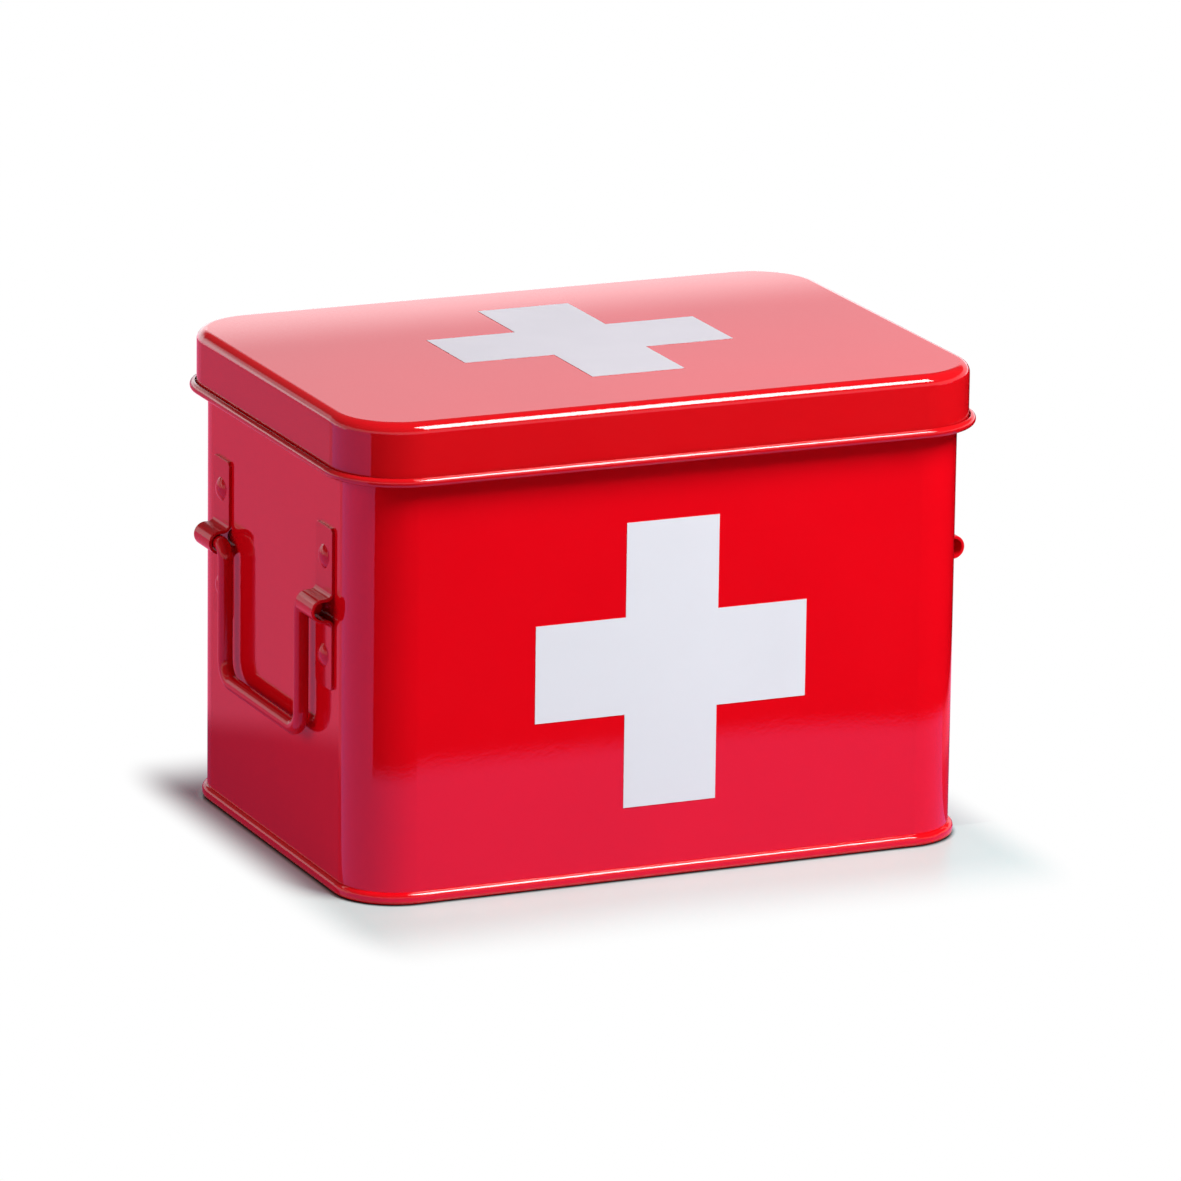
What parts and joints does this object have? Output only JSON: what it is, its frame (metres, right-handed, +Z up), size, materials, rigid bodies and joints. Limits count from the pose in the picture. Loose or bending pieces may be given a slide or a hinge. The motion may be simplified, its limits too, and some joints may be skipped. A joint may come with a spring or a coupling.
{
  "type": "metal medicine box",
  "caption": "Rectangular sheet-metal medicine box with rounded corners, a lift-off lid with a rolled hem, riveted wire bail handles and printed crosses.",
  "frame": {"origin": "centre of the base, at the height of the foot seam's underside", "axes": "+Z up; the front with the upright cross faces -Y; the two handles are on the -X and +X ends"},
  "size_m": [0.233, 0.1648, 0.1611],
  "materials": {
    "case_enamel": "glossy red enamel over steel sheet, with fine orange peel",
    "handle_enamel": "glossy red enamel over steel wire, strip and rivets",
    "white_print": "cool white print with a satin surface"
  },
  "bodies": {
    "case": {"body_shell": "case_enamel", "bottom_panel": "case_enamel", "left_front_strap": "handle_enamel", "left_rear_strap": "handle_enamel", "right_front_strap": "handle_enamel", "right_rear_strap": "handle_enamel", "left_front_upper_rivet": "handle_enamel", "left_front_lower_rivet": "handle_enamel", "left_rear_upper_rivet": "handle_enamel", "left_rear_lower_rivet": "handle_enamel", "right_front_upper_rivet": "handle_enamel", "right_front_lower_rivet": "handle_enamel", "right_rear_upper_rivet": "handle_enamel", "right_rear_lower_rivet": "handle_enamel", "front_cross": "white_print"},
    "lid": {"lid_shell": "case_enamel", "lid_cross": "white_print"},
    "left_bail": {"left_bail": "handle_enamel"},
    "right_bail": {"right_bail": "handle_enamel"}
  },
  "joints": [
    {"name": "lid_lift", "type": "slide", "parent": "case", "child": "lid", "axis": [0, 0, 1], "range_m": [0, 0.1]},
    {"name": "left_bail_swing", "type": "hinge", "parent": "case", "child": "left_bail", "pos_m": [-0.1125, 0, 0.094], "axis": [0, 1, 0], "range_deg": [0, 170]},
    {"name": "right_bail_swing", "type": "hinge", "parent": "case", "child": "right_bail", "pos_m": [0.1125, 0, 0.094], "axis": [0, -1, 0], "range_deg": [0, 170]}
  ]
}
